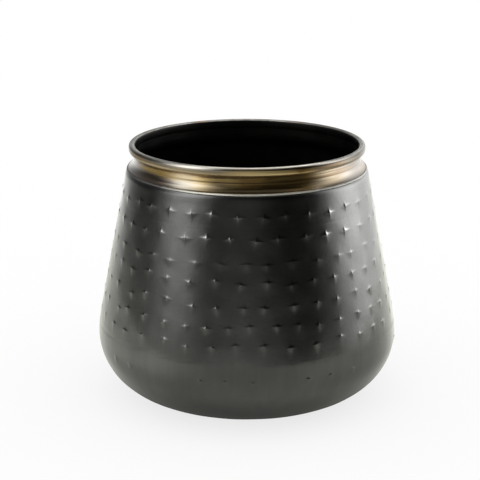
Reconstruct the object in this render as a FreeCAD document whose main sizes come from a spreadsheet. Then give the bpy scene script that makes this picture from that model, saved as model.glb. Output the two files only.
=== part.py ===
import FreeCAD, Part
import math
import os

import Sketcher
from FreeCAD import Vector

# Hammered sheet-metal flower pot with a brass-finished neck collar.
# The pot stands on +Z with the floor at z = 0 and its axis on Z. Every sheet piece is one revolved section,
# so each sketch lies in the XZ plane and is turned about Z. All lengths are millimetres, all angles degrees.

# Driving dimensions: alias, value, meaning
SIZES = [
    ("overall_height", 255.0, "floor to the top of the rim"),
    ("belly_diameter", 300.0, "widest outside diameter"),
    ("bowl_radius", 63.0, "outside radius from the flat foot round the belly to the cone"),
    ("mouth_diameter", 220.0, "inside diameter of the rolled rim"),
    ("wall_sheet", 1.0, "sheet thickness of the hammered wall"),
    ("pan_sheet", 1.0, "sheet thickness of the base pan"),
    ("collar_sheet", 1.0, "sheet thickness of the neck collar"),
    ("solder_gap", 0.1, "gap left for solder between two lapped sheets"),
    ("rim_wire_width", 4.2, "flat steel wire that the rim is rolled round, across its section"),
    ("rim_wire_height", 6.4, "the same wire, up its section"),
    ("rim_curl_gap", 0.05, "play between the rim wire and the curl round it"),
    ("rim_wrap_angle", 290.0, "how far the curl turns in going round the wire"),
    ("neck_step", 1.0, "how far the neck stands out from under the rim"),
    ("neck_step_drop", 6.5, "top of the rim down to the start of that step"),
    ("neck_step_height", 2.5, "height of that step"),
    ("cove_drop", 14.8, "top of the rim down to where the collar starts to flare"),
    ("cove_radius", 10.4, "outside radius of the collar's hollow flare"),
    ("cove_angle", 59.0, "angle that the flare turns through"),
    ("shoulder_radius", 7.5, "outside bend from the flare to the cone"),
    ("spigot_drop", 10.0, "top of the rim down to the wall's upper edge"),
    ("trim_wire_diameter", 1.2, "wire soldered under the collar's lower edge"),
    ("trim_gap", 0.05, "solder gap round the trim wire"),
    ("lap_length", 10.0, "length of the pan's flange inside the wall"),
    ("joggle_length", 4.0, "length of the pan's step in to its flange"),
    ("kick_height", 3.0, "rise of the pan's centre panel"),
    ("kick_diameter", 112.0, "diameter of the raised centre panel"),
    ("kick_run", 7.0, "radial run of the step up to the centre panel"),
    ("pad_diameter", 20.0, "felt foot pad"),
    ("pad_thickness", 2.0, "felt foot pad"),
    ("pad_circle", 149.0, "pitch circle of the foot pads"),
]
PAD_COUNT = 4
PAD_FIRST_ANGLE = 45.0

# How a sketch names its upright axis and the points of an edge
AXIS_OF_SKETCH = "V_Axis"
START, FINISH, CENTRE = 1, 2, 3

doc = FreeCAD.newDocument("flower_pot")
sheet = doc.addObject("Spreadsheet::Sheet", "Sizes")
for row, (alias, number, meaning) in enumerate(SIZES, start=1):
    sheet.set(f"A{row}", alias)
    sheet.set(f"B{row}", str(number))
    sheet.setAlias(f"B{row}", alias)
    sheet.set(f"C{row}", meaning)
doc.recompute()


class Size:
    """A number together with the spreadsheet expression that it comes from."""

    def __init__(self, value, text):
        self.value = value
        self.text = text

    def __add__(self, other):
        other = as_size(other)
        return Size(self.value + other.value, f"({self.text} + {other.text})")

    def __sub__(self, other):
        other = as_size(other)
        return Size(self.value - other.value, f"({self.text} - {other.text})")

    def __mul__(self, other):
        other = as_size(other)
        return Size(self.value * other.value, f"({self.text} * {other.text})")

    def __truediv__(self, other):
        other = as_size(other)
        return Size(self.value / other.value, f"({self.text} / {other.text})")


def as_size(number):
    return number if isinstance(number, Size) else Size(float(number), repr(float(number)))


def size(alias):
    """The named cell of the sheet."""
    return Size(float(sheet.get(alias)), f"Sizes.{alias}")


def sine(angle):
    return Size(math.sin(math.radians(angle.value)), f"sin({angle.text})")


def cosine(angle):
    return Size(math.cos(math.radians(angle.value)), f"cos({angle.text})")


def arcsine(ratio):
    return Size(math.degrees(math.asin(ratio.value)), f"(asin({ratio.text}) / 1 deg)")


# Places that more than one piece shares
foot_level = size("pad_thickness")
bowl_centre_r = size("belly_diameter") / 2 - size("bowl_radius")
bowl_centre_z = foot_level + size("bowl_radius")
mouth_r = size("mouth_diameter") / 2
rim_r = mouth_r + size("collar_sheet")
neck_r = rim_r + size("neck_step")
cove_centre_r = neck_r + size("cove_radius")
cove_centre_z = size("overall_height") - size("cove_drop")
wire_round = size("rim_wire_width") / 2
wire_straight = size("rim_wire_height") - size("rim_wire_width")
curl_inner = wire_round + size("rim_curl_gap")
curl_outer = curl_inner + size("collar_sheet")
roll_r = mouth_r + curl_outer
roll_top_z = size("overall_height") - curl_outer
roll_low_z = roll_top_z - wire_straight
wall_cove_radius = size("cove_radius") + size("collar_sheet") + size("solder_gap")
shoulder_reach = wall_cove_radius + size("shoulder_radius")
shoulder_centre_r = cove_centre_r - shoulder_reach * cosine(size("cove_angle"))
shoulder_centre_z = cove_centre_z - shoulder_reach * sine(size("cove_angle"))


def on_circle(centre, radius, degrees):
    """A point of the section plane, as plain numbers."""
    turn = math.radians(degrees)
    return (centre[0] + radius * math.cos(turn), centre[1] + radius * math.sin(turn))


class Section:
    """A closed outline in a body's XZ plane, drawn in order and then turned about Z."""

    def __init__(self, label):
        self.body = doc.addObject("PartDesign::Body", label)
        self.body.Label = label
        self.sketch = self.body.newObject("Sketcher::SketchObject", f"{label}_section")
        planes = {feature.Role: feature for feature in self.body.Origin.OriginFeatures}
        self.sketch.AttachmentSupport = [(planes["XZ_Plane"], "")]
        self.sketch.MapMode = "FlatFace"
        self.ends = {}

    def line(self, start, finish):
        segment = Part.LineSegment(Vector(*start, 0), Vector(*finish, 0))
        edge = self.sketch.addGeometry(segment, False)
        self.ends[edge] = (START, FINISH)
        return edge

    def arc(self, centre, radius, start_degrees, finish_degrees):
        """An arc drawn from one angle to the other, clockwise where the second is the smaller."""
        low, high = sorted((start_degrees, finish_degrees))
        circle = Part.Circle(Vector(*centre, 0), Vector(0, 0, 1), radius)
        curve = Part.ArcOfCircle(circle, math.radians(low), math.radians(high))
        edge = self.sketch.addGeometry(curve, False)
        self.ends[edge] = (START, FINISH) if start_degrees <= finish_degrees else (FINISH, START)
        return edge

    def corner(self, first, second):
        """The end of one edge meets the start of the next at a corner."""
        self.add("Coincident", first, self.ends[first][1], second, self.ends[second][0])

    def smooth(self, first, second):
        """The end of one edge runs on into the start of the next."""
        self.add("Tangent", first, self.ends[first][1], second, self.ends[second][0])

    def concentric(self, first, second):
        self.add("Coincident", first, CENTRE, second, CENTRE)

    def upright(self, *edges):
        for edge in edges:
            self.add("Vertical", edge)

    def level(self, *edges):
        for edge in edges:
            self.add("Horizontal", edge)

    def add(self, *terms):
        return self.sketch.addConstraint(Sketcher.Constraint(*terms))

    def bind(self, length, *terms):
        """A dimension that follows the sheet."""
        index = self.add(*terms, length.value)
        self.sketch.setExpression(f"Constraints[{index}]", length.text)

    def radius(self, edge, length):
        self.bind(length, "Radius", edge)

    def place(self, edge, point, across=None, up=None):
        """Distance of a point from the axis, and from the floor."""
        if across is not None:
            self.bind(across, "DistanceX", -1, 1, edge, point)
        if up is not None:
            self.bind(up, "DistanceY", -1, 1, edge, point)

    def turn(self):
        """The full revolution of the finished outline about Z."""
        doc.recompute()
        revolution = self.body.newObject("PartDesign::Revolution", f"{self.body.Label}_turned")
        revolution.Profile = self.sketch
        revolution.ReferenceAxis = (self.sketch, [AXIS_OF_SKETCH])
        revolution.Angle = 360.0
        doc.recompute()
        return self.body


def cone_slope():
    """Angle of the cone's outward normal above the horizon: it touches the bowl and the shoulder bend."""
    across = shoulder_centre_r.value - bowl_centre_r.value
    up = shoulder_centre_z.value - bowl_centre_z.value
    apart = math.hypot(across, up)
    smaller = size("bowl_radius").value - size("shoulder_radius").value
    return math.degrees(math.atan2(up, across) - math.acos(smaller / apart))


def make_hammered_wall():
    """Tapered wall from the belly seam up to a spigot that stands inside the collar."""
    sheet_t = size("wall_sheet")
    bowl = (bowl_centre_r.value, bowl_centre_z.value)
    shoulder = (shoulder_centre_r.value, shoulder_centre_z.value)
    cove = (cove_centre_r.value, cove_centre_z.value)
    slope = cone_slope()
    flare = size("cove_angle").value
    bowl_out = size("bowl_radius")
    bowl_in = bowl_out - sheet_t
    bend_out = size("shoulder_radius")
    bend_in = bend_out - sheet_t
    cove_out = wall_cove_radius
    cove_in = cove_out + sheet_t
    top = size("overall_height") - size("spigot_drop")
    spigot_out = cove_centre_r - cove_out
    spigot_in = cove_centre_r - cove_in

    s = Section("hammered_wall")
    belly_o = s.arc(bowl, bowl_out.value, 0.0, slope)
    cone_o = s.line(on_circle(bowl, bowl_out.value, slope), on_circle(shoulder, bend_out.value, slope))
    bend_o = s.arc(shoulder, bend_out.value, slope, flare)
    cove_o = s.arc(cove, cove_out.value, 180.0 + flare, 180.0)
    spigot_o = s.line((spigot_out.value, cove[1]), (spigot_out.value, top.value))
    edge_top = s.line((spigot_out.value, top.value), (spigot_in.value, top.value))
    spigot_i = s.line((spigot_in.value, top.value), (spigot_in.value, cove[1]))
    cove_i = s.arc(cove, cove_in.value, 180.0, 180.0 + flare)
    bend_i = s.arc(shoulder, bend_in.value, flare, slope)
    cone_i = s.line(on_circle(shoulder, bend_in.value, slope), on_circle(bowl, bowl_in.value, slope))
    belly_i = s.arc(bowl, bowl_in.value, slope, 0.0)
    edge_low = s.line(on_circle(bowl, bowl_in.value, 0.0), on_circle(bowl, bowl_out.value, 0.0))

    outside = (belly_o, cone_o, bend_o, cove_o, spigot_o)
    inside = (spigot_i, cove_i, bend_i, cone_i, belly_i)
    for face in (outside, inside):
        for first, second in zip(face, face[1:]):
            s.smooth(first, second)
    s.corner(spigot_o, edge_top)
    s.corner(edge_top, spigot_i)
    s.corner(belly_i, edge_low)
    s.corner(edge_low, belly_o)
    s.concentric(belly_o, belly_i)
    s.concentric(bend_o, bend_i)
    s.concentric(cove_o, cove_i)
    s.upright(spigot_o, spigot_i)
    s.level(edge_top, edge_low)
    s.radius(belly_o, bowl_out)
    s.radius(belly_i, bowl_in)
    s.radius(bend_o, bend_out)
    s.radius(cove_o, cove_out)
    s.radius(cove_i, cove_in)
    s.place(belly_o, CENTRE, bowl_centre_r, bowl_centre_z)
    s.place(belly_o, START, up=bowl_centre_z)
    s.place(cove_o, CENTRE, cove_centre_r, cove_centre_z)
    s.place(bend_o, CENTRE, up=shoulder_centre_z)
    s.place(edge_top, START, up=top)
    return s.turn()


def make_base_pan():
    """Spun bottom with a raised centre panel, a round bowl, and a flange that laps inside the wall."""
    sheet_t = size("pan_sheet")
    bowl = (bowl_centre_r.value, bowl_centre_z.value)
    bowl_out = size("bowl_radius")
    bowl_in = bowl_out - sheet_t
    flange_out = bowl_out - size("wall_sheet") - size("solder_gap")
    flange_in = flange_out - sheet_t
    lap = math.degrees(size("lap_length").value / flange_out.value)
    step = math.degrees(size("joggle_length").value / bowl_out.value)
    kick_r = size("kick_diameter") / 2
    step_r = kick_r + size("kick_run")
    kick_z = foot_level + size("kick_height")
    lap_z = bowl_centre_z + flange_out * sine(size("lap_length") / flange_out * (180.0 / math.pi))
    step_z = bowl_centre_z - bowl_in * sine(size("joggle_length") / bowl_out * (180.0 / math.pi))

    s = Section("base_pan")
    panel_o = s.line((0.0, kick_z.value), (kick_r.value, kick_z.value))
    ramp_o = s.line((kick_r.value, kick_z.value), (step_r.value, foot_level.value))
    foot_o = s.line((step_r.value, foot_level.value), (bowl[0], foot_level.value))
    bowl_o = s.arc(bowl, bowl_out.value, -90.0, 0.0)
    ledge = s.line(on_circle(bowl, bowl_out.value, 0.0), on_circle(bowl, flange_out.value, 0.0))
    flange_o = s.arc(bowl, flange_out.value, 0.0, lap)
    lip = s.line(on_circle(bowl, flange_out.value, lap), on_circle(bowl, flange_in.value, lap))
    flange_i = s.arc(bowl, flange_in.value, lap, 0.0)
    joggle = s.line(on_circle(bowl, flange_in.value, 0.0), on_circle(bowl, bowl_in.value, -step))
    bowl_i = s.arc(bowl, bowl_in.value, -step, -90.0)
    top_z = foot_level.value + sheet_t.value
    panel_z = kick_z.value + sheet_t.value
    foot_i = s.line((bowl[0], top_z), (step_r.value, top_z))
    ramp_i = s.line((step_r.value, top_z), (kick_r.value, panel_z))
    panel_i = s.line((kick_r.value, panel_z), (0.0, panel_z))
    axis = s.line((0.0, panel_z), (0.0, kick_z.value))

    s.smooth(foot_o, bowl_o)
    s.smooth(bowl_i, foot_i)
    rising = (panel_o, ramp_o, foot_o)
    round_the_edge = (bowl_o, ledge, flange_o, lip, flange_i, joggle, bowl_i)
    falling = (foot_i, ramp_i, panel_i, axis, panel_o)
    for run in (rising, round_the_edge, falling):
        for first, second in zip(run, run[1:]):
            s.corner(first, second)
    for curve in (flange_o, flange_i, bowl_i):
        s.concentric(bowl_o, curve)
    s.level(panel_o, foot_o, ledge, foot_i, panel_i)
    s.radius(bowl_o, bowl_out)
    s.radius(bowl_i, bowl_in)
    s.radius(flange_o, flange_out)
    s.radius(flange_i, flange_in)
    s.place(bowl_o, CENTRE, bowl_centre_r, bowl_centre_z)
    s.place(bowl_o, FINISH, up=bowl_centre_z)
    s.place(flange_o, FINISH, up=lap_z)
    s.add("PointOnObject", bowl_o, CENTRE, lip)
    s.place(joggle, START, up=bowl_centre_z)
    s.place(joggle, FINISH, up=step_z)
    s.place(ramp_o, START, kick_r, kick_z)
    s.place(ramp_o, FINISH, across=step_r)
    s.place(ramp_i, START, across=step_r)
    s.place(ramp_i, FINISH, kick_r, kick_z + sheet_t)
    s.add("PointOnObject", axis, START, -2)
    s.add("PointOnObject", axis, FINISH, -2)
    return s.turn()


def make_neck_collar():
    """Hollow-flared collar, stepped in under the rim, its upper edge rolled outwards round a flat wire."""
    sheet_t = size("collar_sheet")
    cove = (cove_centre_r.value, cove_centre_z.value)
    roll_top = (roll_r.value, roll_top_z.value)
    roll_low = (roll_r.value, roll_low_z.value)
    flare = size("cove_angle").value
    cove_out = size("cove_radius")
    cove_in = cove_out + sheet_t
    neck_in = neck_r - sheet_t
    step_top = size("overall_height") - size("neck_step_drop")
    step_foot = step_top - size("neck_step_height")
    side_in = roll_r + curl_inner
    side_out = roll_r + curl_outer
    wrap_end = 180.0 - size("rim_wrap_angle").value
    curl_end_r = roll_r - curl_inner * cosine(size("rim_wrap_angle"))
    flare_z = cove_centre_z - cove_out * sine(size("cove_angle"))

    s = Section("neck_collar")
    cove_o = s.arc(cove, cove_out.value, 180.0 + flare, 180.0)
    neck_o = s.line((neck_r.value, cove[1]), (neck_r.value, step_foot.value))
    step_o = s.line((neck_r.value, step_foot.value), (rim_r.value, step_top.value))
    rise_o = s.line((rim_r.value, step_top.value), (rim_r.value, roll_top[1]))
    crown_i = s.arc(roll_top, curl_inner.value, 180.0, 0.0)
    side_i = s.line((side_in.value, roll_top[1]), (side_in.value, roll_low[1]))
    tuck_i = s.arc(roll_low, curl_inner.value, 0.0, wrap_end)
    curl_edge = s.line(*(on_circle(roll_low, radius.value, wrap_end) for radius in (curl_inner, curl_outer)))
    tuck_o = s.arc(roll_low, curl_outer.value, wrap_end, 0.0)
    side_o = s.line((side_out.value, roll_low[1]), (side_out.value, roll_top[1]))
    crown_o = s.arc(roll_top, curl_outer.value, 0.0, 180.0)
    rise_i = s.line((mouth_r.value, roll_top[1]), (mouth_r.value, step_top.value))
    step_i = s.line((mouth_r.value, step_top.value), (neck_in.value, step_foot.value))
    neck_i = s.line((neck_in.value, step_foot.value), (neck_in.value, cove[1]))
    cove_i = s.arc(cove, cove_in.value, 180.0, 180.0 + flare)
    flare_edge = s.line(*(on_circle(cove, radius.value, 180.0 + flare) for radius in (cove_in, cove_out)))

    pocket = (rise_o, crown_i, side_i, tuck_i)
    bead = (tuck_o, side_o, crown_o, rise_i)
    for run in ((cove_o, neck_o), pocket, bead, (neck_i, cove_i)):
        for first, second in zip(run, run[1:]):
            s.smooth(first, second)
    steps = ((neck_o, step_o, rise_o), (rise_i, step_i, neck_i))
    edges = ((tuck_i, curl_edge, tuck_o), (cove_i, flare_edge, cove_o))
    for run in steps + edges:
        for first, second in zip(run, run[1:]):
            s.corner(first, second)
    s.concentric(cove_o, cove_i)
    s.concentric(crown_i, crown_o)
    s.concentric(tuck_i, tuck_o)
    s.upright(neck_o, rise_o, side_i, side_o, rise_i, neck_i)
    s.radius(cove_o, cove_out)
    s.radius(cove_i, cove_in)
    s.radius(crown_i, curl_inner)
    s.radius(crown_o, curl_outer)
    s.place(cove_o, CENTRE, cove_centre_r, cove_centre_z)
    s.place(crown_i, CENTRE, roll_r, roll_top_z)
    s.place(tuck_i, CENTRE, up=roll_low_z)
    s.place(step_o, START, up=step_foot)
    s.place(step_o, FINISH, up=step_top)
    s.place(step_i, START, up=step_top)
    s.place(step_i, FINISH, up=step_foot)
    s.place(curl_edge, START, across=curl_end_r)
    s.add("PointOnObject", tuck_i, CENTRE, curl_edge)
    s.place(flare_edge, FINISH, up=flare_z)
    s.add("PointOnObject", cove_o, CENTRE, flare_edge)
    return s.turn()


def make_rim_wire():
    """Hoop of flat wire with rounded edges, closed inside the rolled rim."""
    top = (roll_r.value, roll_top_z.value)
    low = (roll_r.value, roll_low_z.value)
    outer = roll_r + wire_round
    inner = roll_r - wire_round

    s = Section("rim_wire")
    crown = s.arc(top, wire_round.value, 0.0, 180.0)
    inside = s.line((inner.value, top[1]), (inner.value, low[1]))
    keel = s.arc(low, wire_round.value, 180.0, 360.0)
    outside = s.line((outer.value, low[1]), (outer.value, top[1]))
    for first, second in ((crown, inside), (inside, keel), (keel, outside), (outside, crown)):
        s.smooth(first, second)
    s.upright(inside)
    s.radius(crown, wire_round)
    s.place(crown, CENTRE, roll_r, roll_top_z)
    s.place(keel, CENTRE, up=roll_low_z)
    return s.turn()


def make_trim_ring():
    """Round wire lying level on the shoulder bend, against the collar's lower edge."""
    wire_r = size("trim_wire_diameter") / 2
    reach = size("shoulder_radius") + wire_r + size("trim_gap")
    seat = size("cove_angle") - arcsine((wire_r + size("trim_gap")) / reach)
    ring_r = shoulder_centre_r + reach * cosine(seat)
    ring_z = shoulder_centre_z + reach * sine(seat)
    ring = doc.addObject("Part::Torus", "trim_ring")
    ring.Label = "trim_ring"
    ring.setExpression("Radius1", ring_r.text)
    ring.setExpression("Radius2", wire_r.text)
    ring.setExpression("Placement.Base.z", ring_z.text)
    return ring


def make_foot_pad(number):
    """Felt disc stuck under the flat ring of the base pan."""
    turn = PAD_FIRST_ANGLE + 360.0 / PAD_COUNT * (number - 1)
    pad = doc.addObject("Part::Cylinder", f"foot_pad_{number}")
    pad.Label = f"foot_pad_{number}"
    pad.setExpression("Radius", "Sizes.pad_diameter / 2")
    pad.setExpression("Height", "Sizes.pad_thickness")
    pad.setExpression("Placement.Base.x", f"Sizes.pad_circle / 2 * cos({turn})")
    pad.setExpression("Placement.Base.y", f"Sizes.pad_circle / 2 * sin({turn})")
    return pad


def check(pieces):
    """Stops the build where an object failed or a piece is not one sound solid."""
    for thing in doc.Objects:
        if "Invalid" in thing.State or "Error" in thing.State:
            raise RuntimeError(f"{thing.Label} failed: {thing.State}")
    for piece in pieces:
        shape = piece.Shape
        if shape.isNull() or not shape.isValid() or len(shape.Solids) != 1:
            raise RuntimeError(f"{piece.Label} is not one valid solid")


def main():
    pieces = [make_hammered_wall(), make_base_pan(), make_neck_collar(), make_rim_wire(), make_trim_ring()]
    pieces += [make_foot_pad(number) for number in range(1, PAD_COUNT + 1)]
    doc.recompute()
    check(pieces)
    os.makedirs("parts", exist_ok=True)
    for piece in pieces:
        piece.Shape.exportStep(f"parts/{piece.Label}.step")
        print(f"{piece.Label}: {piece.Shape.Volume / 1000.0:.2f} cm3")


main()
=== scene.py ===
"""Looks of the flower pot: punched dark wall, brass collar, black inside, felt pads, and the studio."""
import math

import bmesh
import bpy
import numpy as np
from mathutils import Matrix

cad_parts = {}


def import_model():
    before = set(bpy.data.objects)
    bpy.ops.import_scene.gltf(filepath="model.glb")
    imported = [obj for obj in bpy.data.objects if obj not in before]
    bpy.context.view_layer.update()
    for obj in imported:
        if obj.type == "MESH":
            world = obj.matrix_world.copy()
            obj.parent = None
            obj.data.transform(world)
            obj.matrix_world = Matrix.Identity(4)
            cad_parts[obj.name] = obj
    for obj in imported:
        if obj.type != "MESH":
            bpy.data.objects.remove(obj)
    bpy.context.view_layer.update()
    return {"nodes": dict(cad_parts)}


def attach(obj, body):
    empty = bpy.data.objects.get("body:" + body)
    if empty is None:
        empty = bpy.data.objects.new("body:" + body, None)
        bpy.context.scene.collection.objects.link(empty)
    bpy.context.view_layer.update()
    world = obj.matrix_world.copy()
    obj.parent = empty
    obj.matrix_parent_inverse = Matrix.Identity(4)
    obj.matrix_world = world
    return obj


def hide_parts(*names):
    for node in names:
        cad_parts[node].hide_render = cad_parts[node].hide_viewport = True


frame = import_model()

MM = 0.001
# Sources of chance: for places and unevenness, for wear, and for the shape of the stars' arms
RNG = np.random.default_rng(24)
WEAR = np.random.default_rng(7)
SHAPE = np.random.default_rng(11)

# Sizes of the solids, in millimetres, the height a hair less to stay within their facets
HEIGHT, BELLY_R, BOWL_R, MOUTH_R = 254.98, 150.0, 63.0, 110.0
WALL_T, PAN_T, COLLAR_T, GAP = 1.0, 1.0, 1.0, 0.1
WIRE_R, WIRE_FLAT, CURL_PLAY, WRAP = 2.1, 2.2, 0.05, math.radians(290.0)
STEP_IN, STEP_DROP, STEP_H = 1.0, 6.5, 2.5
COVE_DROP, COVE_R, COVE_TURN = 14.8, 10.4, math.radians(59.0)
SHOULDER_R, SPIGOT_DROP = 7.5, 10.0
TRIM_R, TRIM_GAP = 0.6, 0.05
LAP, JOGGLE = 10.0, 4.0
KICK_H, KICK_R, KICK_RUN = 3.0, 56.0, 7.0
PAD_R, PAD_T, PAD_CIRCLE_R, PAD_COUNT, PAD_FIRST = 10.0, 2.0, 74.5, 4, 45.0

FOOT_Z = PAD_T
BOWL_C = (BELLY_R - BOWL_R, FOOT_Z + BOWL_R)
NECK_R = MOUTH_R + COLLAR_T + STEP_IN
COVE_C = (NECK_R + COVE_R, HEIGHT - COVE_DROP)
STEP_TOP = HEIGHT - STEP_DROP
CURL_IN = WIRE_R + CURL_PLAY
CURL_OUT = CURL_IN + COLLAR_T
ROLL_TOP = (MOUTH_R + CURL_OUT, HEIGHT - CURL_OUT)
ROLL_FOOT = (ROLL_TOP[0], ROLL_TOP[1] - WIRE_FLAT)
WALL_COVE_R = COVE_R + COLLAR_T + GAP
REACH = WALL_COVE_R + SHOULDER_R
SHOULDER_C = (COVE_C[0] - REACH * math.cos(COVE_TURN), COVE_C[1] - REACH * math.sin(COVE_TURN))
ACROSS, UP = SHOULDER_C[0] - BOWL_C[0], SHOULDER_C[1] - BOWL_C[1]
TILT = math.atan2(UP, ACROSS) - math.acos((BOWL_R - SHOULDER_R) / math.hypot(ACROSS, UP))


def on_circle(centre, radius, turn):
    return (centre[0] + radius * math.cos(turn), centre[1] + radius * math.sin(turn))


def arc(centre, radius, start, finish, count):
    return [on_circle(centre, radius, start + (finish - start) * i / (count - 1)) for i in range(count)]


# The outside of the wall and bowl, measured in millimetres along the section from the belly seam upwards
CONE_FOOT = on_circle(BOWL_C, BOWL_R, TILT)
CONE_TOP = on_circle(SHOULDER_C, SHOULDER_R, TILT)
S_FOOT = -BOWL_R * math.pi / 2
S_CONE = BOWL_R * TILT
S_BEND = S_CONE + math.dist(CONE_FOOT, CONE_TOP)


def section(s):
    """Radius, height and outward normal at distances s along the outside."""
    s = np.asarray(s, float)
    turn = np.where(s < S_CONE, s / BOWL_R, np.where(s < S_BEND, TILT, TILT + (s - S_BEND) / SHOULDER_R))
    nr, nz = np.cos(turn), np.sin(turn)
    along = s - S_CONE
    cone_r, cone_z = CONE_FOOT[0] - along * math.sin(TILT), CONE_FOOT[1] + along * math.cos(TILT)
    bend_r, bend_z = SHOULDER_C[0] + SHOULDER_R * nr, SHOULDER_C[1] + SHOULDER_R * nz
    r = np.where(s < S_CONE, BOWL_C[0] + BOWL_R * nr, np.where(s < S_BEND, cone_r, bend_r))
    z = np.where(s < S_CONE, BOWL_C[1] + BOWL_R * nz, np.where(s < S_BEND, cone_z, bend_z))
    return r, z, nr, nz


def s_of_height(z):
    if z < CONE_FOOT[1]:
        return BOWL_R * math.asin((z - BOWL_C[1]) / BOWL_R)
    return S_CONE + (z - CONE_FOOT[1]) / math.cos(TILT)


# Rows of stars punched out from inside: height, stars, turn of the first in degrees, share of full height,
# share struck, arms across and up, roundness (2 is a dome, under 1 a pointed star), share of the full tooth
ROWS = [
    (59.6, 36, 2.0, 1.2, 0.8, 4.6, 3.0, 1.4, 0.0),
    (91.9, 36, -3.6, 0.65, 1.0, 4.8, 3.0, 1.4, 0.4),
    (109.6, 40, 1.7, 0.7, 1.0, 5.0, 3.1, 1.4, 0.5),
    (128.9, 36, -2.5, 0.7, 1.0, 5.4, 3.1, 1.35, 0.6),
    (149.8, 36, -3.3, 0.7, 1.0, 6.4, 3.2, 1.3, 0.6),
    (167.6, 35, -1.7, 0.65, 1.0, 7.2, 3.3, 1.4, 0.2),
    (189.8, 34, 3.9, 0.85, 1.0, 8.2, 6.4, 0.88, 1.0),
    (210.2, 34, -4.3, 0.85, 1.0, 8.4, 6.6, 0.88, 1.0),
]
# Height of a mark, and the power that its flanks follow, which grows with its roundness
STAR_HIGH, FLANK, FLANK_BY_ROUNDNESS = 0.65, 0.35, 0.85
# A mark counts as pointed below this roundness, fully so after a further step down
POINTED_FROM, POINTED_STEP = 1.2, 0.4
# A mark is short and steep above its middle, long and shallow below it. For pointed and for round marks:
# how long it is below, how high on it the rubbing starts, and how strong the rubbing is, which is wear and
# painted glint
ABOVE = 0.52
POINTED_MARK, ROUND_MARK = (1.2, 0.08, 1.0), (2.5, 0.4, 0.5)
# The rubbed ridge along the arms of a pointed mark, and how the rubbing comes in and reaches down;
# the rubbing is wear and painted glint
RIDGE_WIDE, RIDGE_SHARE, RUB_STEP, RUB_BELOW = 0.75, 0.8, 0.5, 1.5
# The tooth in the middle of a mark, with the bearing and spread over which it is blunt, in degrees
TOOTH_HIGH, TOOTH_WIDE, TOOTH_LONG = 0.38, 0.8, 3.0
BLUNT_AT, BLUNT_SPREAD, BLUNT_SHARE = -32.0, 15.0, 0.75
# How much the stars are rubbed at each bearing, in degrees: least at the two sides, less in front.
# The share follows where the light falls, so it paints glints as well as wear
RUB_GLINT_AT = [-120.0, -75.0, -50.0, -40.0, -8.0, 4.0, 24.0, 36.0, 45.0, 62.0, 90.0, 120.0]
RUB_GLINT_SHARE = [1.0, 0.2, 0.2, 1.0, 1.0, 0.4, 0.4, 1.0, 1.0, 0.15, 0.15, 1.0]
# The swelling round a mark, how far from its middle a mark ends, and the slack for marks off their row
SWELL_R, SWELL_HIGH = 8.0, 0.2
MARK_REACH, ROW_SLACK = 20.0, 3.0
# How single marks stray, with the limit: turn and twist in degrees, height in millimetres
STRAY_TURN, STRAY_UP, STRAY_TWIST = (0.8, 1.6), (1.3, 2.4), (8.0, 14.0)
# Distance from the seam at which marks stray fully, and height above it at which they are rubbed fully
STRAY_FULL, RUB_FULL = 12.0, 20.0
# Ranges of chance: arms, height, tooth, rubbing, share of the right arm, droop of the arms in millimetres
ARM_RANGE, HIGH_RANGE, TOOTH_RANGE, RUB_RANGE = (0.85, 1.12), (0.7, 1.2), (0.5, 1.1), (0.35, 1.0)
RIGHT_RANGE, DROOP_RANGE = (0.75, 1.25), (-0.5, 1.5)

# Mesh lines across and up each mark, in millimetres, and the lines between one mark and the next
FINE_ACROSS = np.array([-7.6, -5.2, -3.4, -2.0, -1.1, -0.5, 0.0, 0.5, 1.1, 2.0, 3.4, 5.2, 7.6])
FINE_UP = np.array([-5.6, -3.5, -2.0, -1.1, -0.5, 0.0, 0.5, 1.1, 2.0, 3.5, 5.6])
COARSE_STEPS = 4
# How far the lines at the edge of a row follow its marks, and where between two marks they change over
EDGE_LIFT, CHANGE_FROM, CHANGE_OVER = 0.45, 0.3, 0.4


def stray(count, spread, limit):
    """Chance values about nothing, none beyond the limit."""
    return np.clip(RNG.normal(0, spread, count), -limit, limit)


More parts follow.
